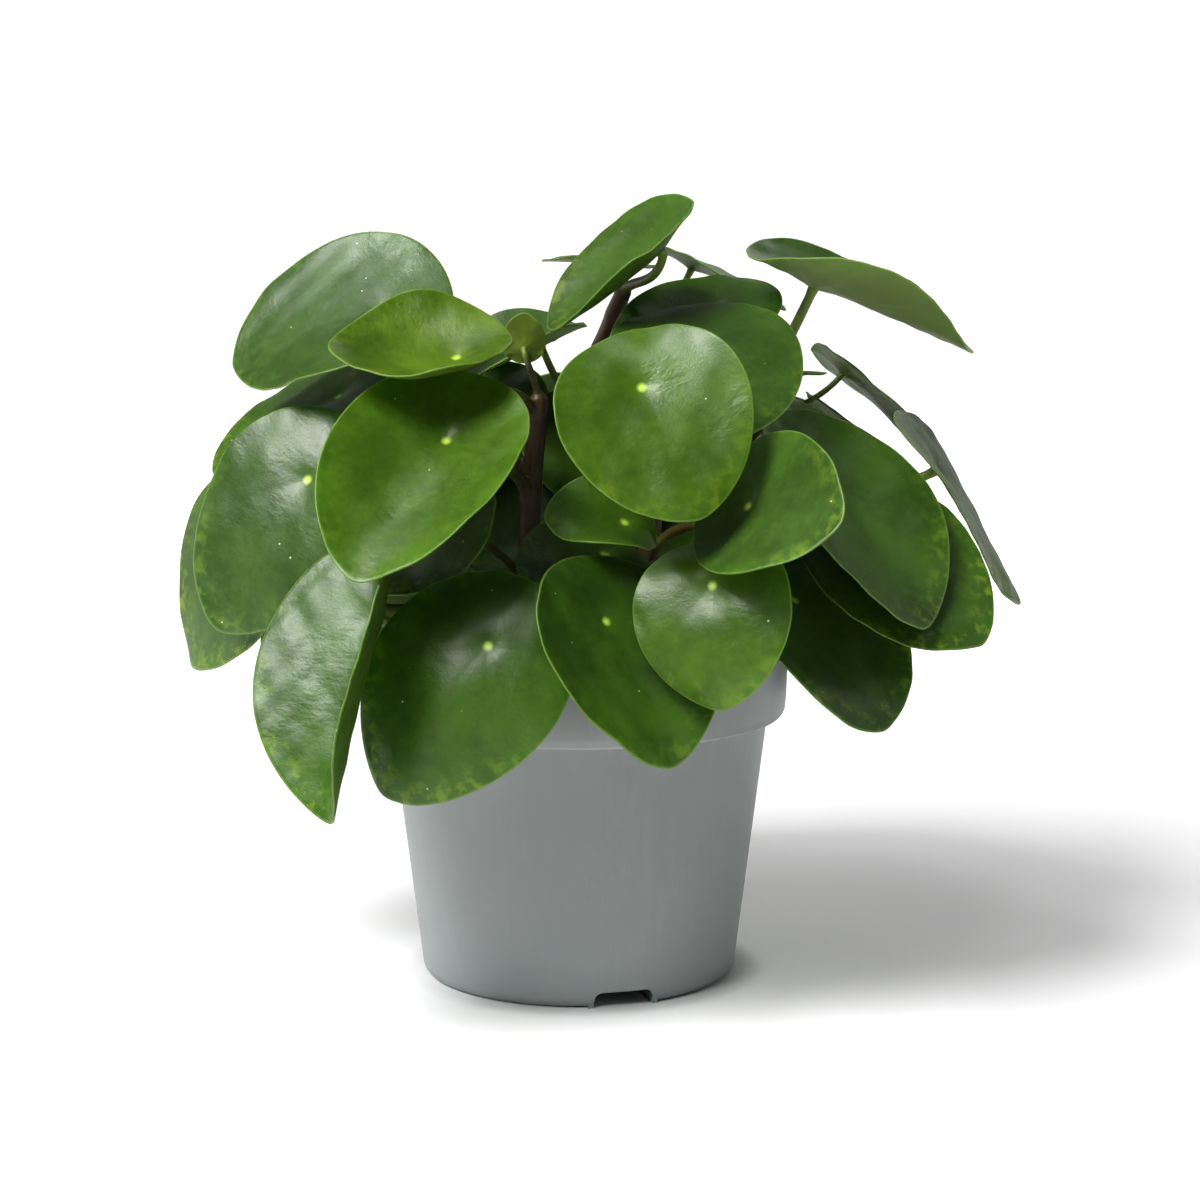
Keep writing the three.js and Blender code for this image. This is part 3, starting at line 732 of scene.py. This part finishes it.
# Leaf blades
class Leaf:
    def __init__(self, order, name, finish, stem, joint, navel, turn, size, bend, arrival=None):
        self.name = name
        self.finish = finish
        self.stem = stem
        self.joint = joint
        self.navel = Vector(navel)
        heading, droop, roll = turn
        about_z = Matrix.Rotation(math.radians(heading + 180), 3, "Z")
        about_x = Matrix.Rotation(math.radians(-droop), 3, "X")
        about_y = Matrix.Rotation(math.radians(roll), 3, "Y")
        self.turn = about_z @ about_x @ about_y
        self.facing = self.turn @ Vector((0, 0, 1))
        self.arrival = Vector(arrival).normalized() if arrival else self.facing
        self.length, self.width = size
        self.cup = math.radians(bend[0])
        self.fold = math.radians(bend[1])
        self.arch = math.radians(bend[2]) or FLAT
        self.phase = order * GOLDEN_ANGLE
        self.own = (order * GOLDEN_SHARE) % 1

    def flat_point(self, angle, ring):
        towards_tip = np.cos(angle)
        turn = np.arctan2(np.sin(angle), towards_tip)
        point = np.where(towards_tip > 0, TIP_POINT, 0.0)
        peak = np.maximum(0, 1 - np.hypot(turn, TIP_ROUND) / TIP_SPREAD) ** 2
        reach = (1 - point) * towards_tip + point * peak
        along = self.length * (0.5 - NAVEL_PLACE) + self.length / 2 * reach
        across = self.width / 2 * np.sin(angle) * (1 - EGG_SHAPE * towards_tip)
        return across * ring, along * ring

    def bent_point(self, angle, ring):
        across, along = self.flat_point(angle, ring)
        x = np.zeros_like(across)
        rise = WAVE_SHARE * self.length * ring ** 3 * np.sin(3 * angle + self.phase)
        for step in range(BEND_STEPS):
            place = across * (step + 0.5) / BEND_STEPS
            slope = self.cup * place / self.width + self.fold / 2 * np.tanh(place / FOLD_SPREAD)
            x = x + np.cos(slope) * across / BEND_STEPS
            rise = rise + np.sin(slope) * across / BEND_STEPS
        bend = along * self.arch / self.length
        radius = self.length / self.arch
        y = np.sin(bend) * (radius - rise)
        z = radius - np.cos(bend) * (radius - rise)
        return np.stack([x, y, z], -1)

    def normal(self, angle, ring):
        near = np.maximum(ring, NAVEL_RING)
        outward = self.bent_point(angle, near + NORMAL_STEP) - self.bent_point(angle, near - NORMAL_STEP)
        around = self.bent_point(angle + NORMAL_STEP, near) - self.bent_point(angle - NORMAL_STEP, near)
        across = np.cross(around, outward)
        return across / np.linalg.norm(across, axis=-1, keepdims=True)


def bell(distance, reach):
    return np.exp(-(distance / reach) ** 2)


def wrinkles(leaf, across, along, ring):
    """Height of the upper face's relief in mm: a dimple at the navel, veins as shallow grooves, and
    soft puckers between them that grow towards the margin."""
    radius = np.hypot(across, along)
    turn = np.arctan2(across, along)
    dimple = -DIMPLE_DEPTH * bell(radius, DIMPLE_RADIUS)
    pillow = PILLOW_HEIGHT * (1 - bell(radius, PILLOW_RADIUS)) * (1 - ring ** 3)
    from_vein = np.abs((turn / VEIN_ANGLE + 0.5) % 1 - 0.5) * VEIN_ANGLE * radius
    groove = -GROOVE_DEPTH * bell(from_vein, VEIN_WIDTH) * (1 - ring)
    groove = groove * np.minimum(1, radius / GROOVE_START)
    pucker = 0.0
    random = np.random.default_rng(int(RELIEF_SEEDS * leaf.own) + FIRST_SEED)
    for _ in range(PUCKER_COUNT):
        across_waves, along_waves = random.normal(0, PUCKER_WAVES, 2)
        phase = random.uniform(0, ANY_PHASE)
        pucker = pucker + np.sin(across * across_waves + along * along_waves + phase)
    pucker = PUCKER_HEIGHT * pucker * (PUCKER_AT_NAVEL + ring)
    swell = 0.0
    for count in SWELL_COUNTS:
        swell = swell + np.sin(count * turn + random.uniform(0, ANY_PHASE)) / count
    return dimple + pillow + groove + pucker + SWELL_HEIGHT * swell * ring ** 4


def blade(leaf, material):
    shares = np.linspace(0, 1, BLADE_RINGS + 1)[1:]
    rings = EVEN_RINGS * shares + (1 - EVEN_RINGS) * (1 - (1 - shares) ** 2)
    ring, angle = np.meshgrid(rings, turns_around(BLADE_SEGMENTS), indexing="ij")
    across, along = leaf.flat_point(angle, ring)
    middle = leaf.bent_point(angle, ring)
    normal = leaf.normal(angle, ring)
    half = (LOOK_THICKNESS + (LOOK_MARGIN - LOOK_THICKNESS) * ring ** 2)[..., None] / 2
    relief = wrinkles(leaf, across, along, ring)[..., None]
    upper = middle + normal * (half + relief)
    lower = middle - normal * (half - relief * UNDER_RELIEF)

    # The margin closes the two faces with a half round
    outward = middle[-1] - middle[-2]
    outward /= np.linalg.norm(outward, axis=-1, keepdims=True)
    heart = (upper[-1] + lower[-1]) / 2
    edge_rows = []
    for row in range(1, MARGIN_ROWS + 1):
        turn = math.pi * row / (MARGIN_ROWS + 1)
        bulge = outward * math.sin(turn) * MARGIN_BULGE
        edge_rows.append(heart + half[-1] * (normal[-1] * math.cos(turn) + bulge))
    rows = [*upper, *edge_rows, *lower[::-1]]
    flat_rows = [
        np.stack([across[i], along[i], ring[i]], -1)
        for i in [*range(BLADE_RINGS), *[-1] * MARGIN_ROWS, *reversed(range(BLADE_RINGS))]
    ]
    faces_up = [1.0] * BLADE_RINGS + [0.5] * MARGIN_ROWS + [0.0] * BLADE_RINGS

    centre = [[0, 0, LOOK_THICKNESS / 2 - NAVEL_SINK], [0, 0, -LOOK_THICKNESS / 2 - NAVEL_KNOB]]
    points = np.concatenate([*rows, np.array(centre)])
    turned = points @ np.array(leaf.turn).T + np.array(leaf.navel)
    made = make_object("blade_" + leaf.name, turned, capped_rows(len(rows), BLADE_SEGMENTS), material)

    blotchy = BLOTCHY_MATURE if leaf.finish == "mature" else BLOTCHY_OTHER
    count = len(rows) * BLADE_SEGMENTS
    tone = np.zeros((len(points), 3))
    tone[:count, 0] = np.repeat(faces_up, BLADE_SEGMENTS)
    tone[count, 0] = 1
    tone[:, 1] = leaf.own
    tone[:, 2] = blotchy * (LEAST_BLOTCHY + (1 - LEAST_BLOTCHY) * leaf.own)
    set_attribute(made, "flat", np.concatenate([*flat_rows, np.zeros((2, 3))]))
    set_attribute(made, "tone", tone)
    return made


# Stems with their stalks
def catmull_rom(points, steps):
    """The centripetal curve through the points, as the part's source has it."""
    points = [Vector(point) for point in points]
    ends = [2 * points[0] - points[1], *points, 2 * points[-1] - points[-2]]
    curve = []
    for before, first, second, after in zip(ends, ends[1:], ends[2:], ends[3:]):
        steps_between = ((before, first), (first, second), (second, after))
        near, span, far = [math.sqrt((b - a).length) for a, b in steps_between]
        middle = (second - first) / span
        leave = ((first - before) / near - (second - before) / (near + span) + middle) * span
        arrive = (middle - (after - first) / (span + far) + (after - second) / far) * span
        for step in range(steps):
            t = step / steps
            curve.append(
                first + leave * t + (3 * (second - first) - 2 * leave - arrive) * t ** 2
                + (2 * (first - second) + leave + arrive) * t ** 3
            )
    return [*curve, points[-1]]


def bezier(start, leave, arrive, end, steps):
    curve = []
    for step in range(steps + 1):
        t = step / steps
        s = 1 - t
        curve.append(start * s ** 3 + leave * 3 * s * s * t + arrive * 3 * s * t * t + end * t ** 3)
    return curve


def tube(points, radii, sides):
    """Vertices and faces of a closed tube along the points."""
    across = Vector((1, 0, 0))
    vertices = []
    for i, point in enumerate(points):
        forward = (points[min(i + 1, len(points) - 1)] - points[max(i - 1, 0)]).normalized()
        across = (across - forward * across.dot(forward)).normalized()
        other = forward.cross(across)
        vertices += [
            point + radii[i] * (across * math.cos(turn) + other * math.sin(turn))
            for turn in turns_around(sides)
        ]
    faces = rows_to_faces(len(points), sides)
    faces.append(tuple(range(sides)))
    faces.append(tuple(reversed(range(len(vertices) - sides, len(vertices)))))
    return vertices, [face[::-1] for face in faces]


def stem_path(stem):
    foot, rise, _ = STEMS[stem]
    buried = SOIL_LEVEL + SOIL_MOUND - PLANTING_DEPTH
    levels = [buried + GAP, (buried + SOIL_LEVEL) / 2, SOIL_LEVEL + SOIL_MOUND + STEM_UPRIGHT]
    return catmull_rom([[*foot, level] for level in levels] + rise, STEM_STEPS)


def stalk_path(leaf, joint):
    """The stalk's route in the part's source, carried on through the gap into the blade."""
    slant = STALK_THIN * math.sin(leaf.arrival.angle(leaf.facing, 0))
    end = leaf.navel - leaf.facing * (BLADE_THICKNESS / 2 + GAP + slant)
    span = (end - joint).length
    outward = Vector((end.x - joint.x, end.y - joint.y, 0)).normalized()
    leave = joint + Vector((0, 0, LEAVE_UP * span)) + outward * LEAVE_OUTWARD * span
    arrive = end - leaf.arrival * min(ARRIVE_SHARE * span, ARRIVE_LIMIT)
    tip = leaf.navel - leaf.facing * BLADE_THICKNESS * INTO_BLADE
    return [*bezier(joint, leave, arrive, end, STALK_STEPS), tip]


def swollen(amount, reach, distance):
    return amount * math.exp(-(distance / reach) ** 2)


def stem_radii(path, leaves, foot_radius, top_radius):
    lowest, highest = path[0].z, path[-1].z
    amount, reach = KNOT
    radii = []
    for point in path:
        share = (point.z - lowest) / (highest - lowest)
        knot = sum(swollen(1, reach, point.z - leaf.joint) for leaf in leaves)
        scar = SCAR_HEIGHT * math.sin(point.z * SCAR_WAVES) ** SCAR_SHARPNESS
        radius = foot_radius + (top_radius - foot_radius) * share
        radii.append(radius * (1 + amount * min(knot, 1) + scar))
    return radii


def stalk_radius(leaf, share):
    size = min(max(leaf.length / FULL_LEAF, THINNEST_SHARE), 1)
    plain = STALK_THICK + (STALK_THIN - STALK_THICK) * share
    return size * (plain + swollen(*STALK_FOOT, share) + swollen(*STALK_HEAD, 1 - share))


def stem_parts(stem, leaves):
    """The tubes of a stem and its stalks, each with the share of the way to a blade at its points."""
    path = stem_path(stem)
    foot_radius, top_radius = STEMS[stem][2]
    crown = [path[-1] + Vector((0, 0, rise)) for rise in CROWN_RISES]
    radii = stem_radii(path, leaves, foot_radius, top_radius)
    radii += [top_radius * share for share in CROWN_SHARES]
    parts = [(path + crown, radii, STEM_SIDES, [0.0] * len(radii))]
    for leaf in leaves:
        joint = min(path, key=lambda point: abs(point.z - leaf.joint))
        curve = stalk_path(leaf, joint)
        shares = [i / (len(curve) - 1) for i in range(len(curve))]
        parts.append((curve, [stalk_radius(leaf, share) for share in shares], STALK_SIDES, shares))
    return parts


def stem_object(stem, leaves, material):
    vertices = []
    faces = []
    samples = []
    for curve, radii, sides, shares in stem_parts(stem, leaves):
        own_vertices, own_faces = tube(curve, radii, sides)
        faces += [tuple(len(vertices) + index for index in face) for face in own_faces]
        vertices += own_vertices
        samples += [(*point, share) for point, share in zip(curve, shares)]
    made = make_object("stalks_" + stem, vertices, faces, material)
    remesh = made.modifiers.new("join", "REMESH")
    remesh.mode = "VOXEL"
    remesh.voxel_size = STEM_VOXEL * MM
    remesh.use_smooth_shade = True
    even = made.modifiers.new("even", "SMOOTH")
    even.factor = SOFTENING
    even.iterations = SOFTENING_ROUNDS
    keep_evaluated(made)

    # Each vertex takes the share of the nearest point of a curve
    places = np.array([vertex.co for vertex in made.data.vertices]) / MM
    samples = np.array(samples)
    shares = np.zeros((len(places), 3))
    for start in range(0, len(places), NEAREST_AT_ONCE):
        part = places[start:start + NEAREST_AT_ONCE]
        distance = ((part[:, None, :] - samples[None, :, :3]) ** 2).sum(-1)
        shares[start:start + NEAREST_AT_ONCE, 0] = samples[distance.argmin(1), 3]
    set_attribute(made, "tone", shares)
    return made


# Pot
def arc(centre, radius, start, stop, steps):
    """Points [radius, height] of an arc, angles in degrees."""
    return [
        [centre[0] + radius * math.cos(turn), centre[1] + radius * math.sin(turn)]
        for turn in np.radians(np.linspace(start, stop, steps))
    ]


def pot_profile():
    """Up the outer face from the middle of the foot, over the lip, and down inside to the floor."""
    lip = WALL / 2
    slope = (STEP_RADIUS - FOOT_RADIUS) / (STEP_HEIGHT - FOOT_ROUND)
    return [
        [0, 0],
        *arc((FOOT_RADIUS - FOOT_ROUND, FOOT_ROUND), FOOT_ROUND, -90, -4, 9),
        [STEP_RADIUS - 0.5 * slope, STEP_HEIGHT - 0.5],
        *arc((STEP_RADIUS + STEP_ROUND, STEP_HEIGHT - STEP_ROUND), STEP_ROUND, 165, 95, 4),
        *arc((RIM_RADIUS - SHOULDER_ROUND - 0.6, STEP_HEIGHT + 3.6), SHOULDER_ROUND, -78, -8, 9),
        [RIM_RADIUS - 0.35, BAND_HEIGHT],
        *arc((RIM_RADIUS - lip, POT_HEIGHT - lip), lip, 0, 180, 9),
        [RIM_RADIUS - WALL - 0.4, BAND_HEIGHT],
        [RIM_RADIUS - WALL - 2.1, STEP_HEIGHT + 3.2],
        [STEP_RADIUS - WALL, STEP_HEIGHT - 1],
        [FOOT_RADIUS - WALL, FOOT_ROUND],
        [FOOT_RADIUS - FOOT_ROUND, FLOOR_THICKNESS],
        [0, FLOOR_THICKNESS],
    ]


def channel_object(start, stop, grow, angle, material):
    """A round-topped slot along the given direction; grow widens it on every side."""
    half = CHANNEL_WIDTH / 2 + grow
    top = CHANNEL_HEIGHT + grow
    curve = CHANNEL_ROUND + grow
    bottom = 0 if grow else -WALL
    section = [
        [half, bottom],
        *arc((half - curve, top - curve), curve, 0, 90, 9),
        *arc((curve - half, top - curve), curve, 90, 180, 9),
        [-half, bottom],
    ]
    along = Vector((math.cos(angle), math.sin(angle), 0))
    sideways = Vector((-math.sin(angle), math.cos(angle), 0))
    points = [
        along * reach + sideways * x + Vector((0, 0, z))
        for reach in (start, stop) for x, z in section
    ]
    return make_object("channel", points, prism_faces(len(section)), material)


def drain_object(angle, material):
    centre = np.array([DRAIN_PLACE * math.cos(angle), DRAIN_PLACE * math.sin(angle), 0])
    rows = [np.array(circle(DRAIN_RADIUS, height, DRAIN_SIDES)) + centre for height in DRAIN_CUT]
    return make_object("drain", np.concatenate(rows), prism_faces(DRAIN_SIDES), material)


def combine(made, tool, operation):
    boolean = made.modifiers.new(operation.lower(), "BOOLEAN")
    boolean.operation = operation
    boolean.solver = "EXACT"
    boolean.object = tool
    keep_evaluated(made)
    bpy.data.objects.remove(tool)


def sharpen(made, degrees):
    """Marks the edges that stay crisp, and shades the rest smooth."""
    shape = bmesh.new()
    shape.from_mesh(made.data)
    bmesh.ops.recalc_face_normals(shape, faces=shape.faces)
    for edge in shape.edges:
        edge.smooth = len(edge.link_faces) == 2 and edge.calc_face_angle() < math.radians(degrees)
    for face in shape.faces:
        face.smooth = True
    shape.to_mesh(made.data)
    shape.free()


def pot_object(material):
    profile = pot_profile()
    rows = [circle(radius, height, POT_SIDES) for radius, height in profile[1:-1]]
    points = [*sum(rows, []), (0, 0, profile[0][1]), (0, 0, profile[-1][1])]
    made = make_object("nursery_pot", points, capped_rows(len(rows), POT_SIDES), material)
    angles = [math.radians(CHANNEL_AZIMUTH - 90 + 360 * i / CHANNEL_COUNT) for i in range(CHANNEL_COUNT)]
    for angle in angles:
        roof = channel_object(CHANNEL_INNER - WALL, FOOT_RADIUS - WALL, WALL, angle, material)
        combine(made, roof, "UNION")
    for angle in angles:
        combine(made, channel_object(CHANNEL_INNER, RIM_RADIUS, 0, angle, material), "DIFFERENCE")
        combine(made, drain_object(angle, material), "DIFFERENCE")
    sharpen(made, CRISP_EDGE)
    return made


# Soil: three crossing waves roughen its mound, each as waves per mm and height in mm, and its side
# follows the pot's inner face down to the channels
SOIL_WAVES = ((0.11, 0.9), (0.31, 0.55), (0.83, 0.3))
WAVE_ACROSS = 6.1
WAVE_ALONG = 5.3
WAVE_SLANT = 2.2
WAVE_START = 1.3
SOIL_FLOOR = CHANNEL_HEIGHT + WALL + 0.5
SOIL_SIDE = (
    (RIM_RADIUS - WALL - 2.8, STEP_HEIGHT + 4),
    (STEP_RADIUS - WALL - SOIL_GAP, STEP_HEIGHT - SOIL_GAP),
    (FOOT_RADIUS - WALL - SOIL_GAP, SOIL_FLOOR),
)


def soil_height(x, y):
    radius = math.hypot(x, y)
    rough = 0.0
    for waves, height in SOIL_WAVES:
        across = math.sin(waves * x * WAVE_ACROSS + WAVE_START)
        rough += height * across * math.sin(waves * y * WAVE_ALONG + waves * x * WAVE_SLANT)
    mound = SOIL_MOUND * max(0, 1 - (radius / MOUND_RADIUS) ** 2)
    return SOIL_LEVEL + mound + rough


def soil_object(material):
    reach = RIM_RADIUS - WALL - 0.6
    rows = [
        [(x, y, soil_height(x, y)) for x, y, _ in circle(reach * ring / SOIL_RINGS, 0, SOIL_SIDES)]
        for ring in range(1, SOIL_RINGS + 1)
    ]
    rows += [circle(radius, height, SOIL_SIDES) for radius, height in SOIL_SIDE]
    points = [*sum(rows, []), (0, 0, soil_height(0, 0)), (0, 0, SOIL_FLOOR)]
    faces = [face[::-1] for face in capped_rows(len(rows), SOIL_SIDES)]
    return make_object("potting_soil", points, faces, material)


# Crumbs: their stretch sideways and upwards, how far the middle stands over the soil, and how rough
# their faces are, as shares of their size
CLOD_STRETCH = (0.6, 1.35)
CLOD_FLATNESS = (0.5, 0.9)
CLOD_RISE = 0.15
CLOD_ROUGHNESS = 0.09
CLOD_SEED = 5


def clods_object(material):
    """Crumbs of soil and bark, half sunk in the soil's surface."""
    random = np.random.default_rng(CLOD_SEED)
    smallest, spread = CLOD_SIZE
    shape = bmesh.new()
    for _ in range(CLOD_COUNT):
        radius = (RIM_RADIUS - WALL - CLOD_FROM_WALL) * math.sqrt(random.uniform())
        turn = random.uniform(0, FULL_TURN)
        x, y = radius * math.cos(turn), radius * math.sin(turn)
        size = smallest + spread * random.uniform() ** 3
        stretch = Matrix.Diagonal((*random.uniform(*CLOD_STRETCH, 2), random.uniform(*CLOD_FLATNESS), 1))
        spin = Euler(random.uniform(0, ANY_PHASE, 3)).to_matrix().to_4x4()
        place = Matrix.Translation((x, y, soil_height(x, y) + CLOD_RISE * size))
        made = bmesh.ops.create_icosphere(
            shape, subdivisions=2 if size > LARGE_CLOD else 1, radius=size, matrix=place @ spin @ stretch)
        for vertex in made["verts"]:
            vertex.co += Vector(random.normal(0, CLOD_ROUGHNESS * size, 3))
    shape.transform(Matrix.Scale(MM, 4))
    return shape_object("soil_crumbs", shape, material)


# Studio: name, place in metres, size and power of each soft light, and the point they aim at
SOFTBOXES = [
    ("key", (-0.78, -0.86, 1.42), 0.75, 31),
    ("key_veil", (-0.95, -1.05, 1.75), 2.0, 17),
    ("overhead", (-0.45, 0.05, 1.5), 0.6, 1.5),
    ("left", (-1.4, 0.35, 0.3), 0.6, 0.8),
    ("right", (1.3, -0.1, 0.9), 0.9, 1.2),
    ("back", (0.6, 1.3, 1.0), 0.9, 1.5),
]
LIGHTS_AIM = (0, 0, 0.11)

# The light of the surroundings grows from the front to the back, and fades overhead
WORLD_BY_DEPTH = (-0.8, 0.4, 0.05, 0.50)
WORLD_BY_HEIGHT = (0.1, 0.6, 1.0, 0.30)
BACKDROP_RADIUS = 4000
BACKDROP_DETAIL = 4
FLOOR_SIDES = 96


def studio():
    floor_object()
    backdrop_object()
    world = bpy.data.worlds.new("studio")
    bpy.context.scene.world = world
    world.use_nodes = True
    tree = world.node_tree
    background = tree.nodes["Background"]
    background.inputs["Color"].default_value = (1, 1, 1, 1)
    towards = parts_of(tree, tree.nodes.new("ShaderNodeTexCoord").outputs["Generated"])
    by_depth = smooth(tree, towards["Y"], *WORLD_BY_DEPTH)
    strength = times(tree, by_depth, smooth(tree, towards["Z"], *WORLD_BY_HEIGHT))
    tree.links.new(strength, background.inputs["Strength"])
    for name, place, size, power in SOFTBOXES:
        softbox(name, place, size, power)
    bpy.context.scene.view_settings.view_transform = "Standard"
    bpy.context.scene.view_settings.look = "Medium High Contrast"


def backdrop_object():
    """A white dome that is seen behind the object and gives no light."""
    material, _, shader = new_material("white_backdrop")
    shader.inputs["Base Color"].default_value = (0, 0, 0, 1)
    shader.inputs["Specular IOR Level"].default_value = 0
    shader.inputs["Emission Color"].default_value = (1, 1, 1, 1)
    shader.inputs["Emission Strength"].default_value = 1
    shape = bmesh.new()
    bmesh.ops.create_icosphere(shape, subdivisions=BACKDROP_DETAIL, radius=BACKDROP_RADIUS * MM)
    bmesh.ops.reverse_faces(shape, faces=shape.faces)
    dome = shape_object("white_backdrop", shape, material)
    for ray in ("diffuse", "glossy", "transmission", "shadow", "volume_scatter"):
        setattr(dome, "visible_" + ray, False)
    return dome


def floor_object():
    points = circle(BACKDROP_RADIUS, 0, FLOOR_SIDES)
    return make_object("pale_floor", points, [tuple(range(FLOOR_SIDES))], floor_material(), False)


def softbox(name, place, size, power):
    light = bpy.data.lights.new(name, "AREA")
    light.shape = "DISK"
    light.size = size
    light.energy = power
    lamp = link(name, light)
    lamp.location = place
    aim = Vector(LIGHTS_AIM) - Vector(place)
    lamp.rotation_euler = aim.to_track_quat("-Z", "Y").to_euler()


def camera():
    lens = bpy.data.cameras.new("camera")
    lens.lens = FOCAL_LENGTH
    lens.sensor_width = SENSOR
    view = link("camera", lens)
    view.location = (0, -CAMERA_BACK * MM, CAMERA_HEIGHT * MM)
    view.rotation_euler = (math.radians(90 - CAMERA_TILT), 0, math.radians(-CAMERA_TURN))
    bpy.context.scene.camera = view


camera()
studio()

pot_plastic = pot_material()
soil_finish = soil_material()
stem_skin = stem_material()
leaf_skins = {name: leaf_material("leaf_" + name, *colours) for name, colours in LEAF_COLOURS.items()}
all_leaves = [Leaf(order, *row) for order, row in enumerate(LEAVES)]

settle(pot_object(pot_plastic), "pot", "pot")
settle(soil_object(soil_finish), "soil", "soil")
settle(clods_object(soil_finish), "soil")
for stem in STEMS:
    own_leaves = [leaf for leaf in all_leaves if leaf.stem == stem]
    settle(stem_object(stem, own_leaves, stem_skin), "stem", "stem_" + stem)
for leaf in all_leaves:
    settle(blade(leaf, leaf_skins[leaf.finish]), "leaf_" + leaf.finish, "leaf_" + leaf.name)
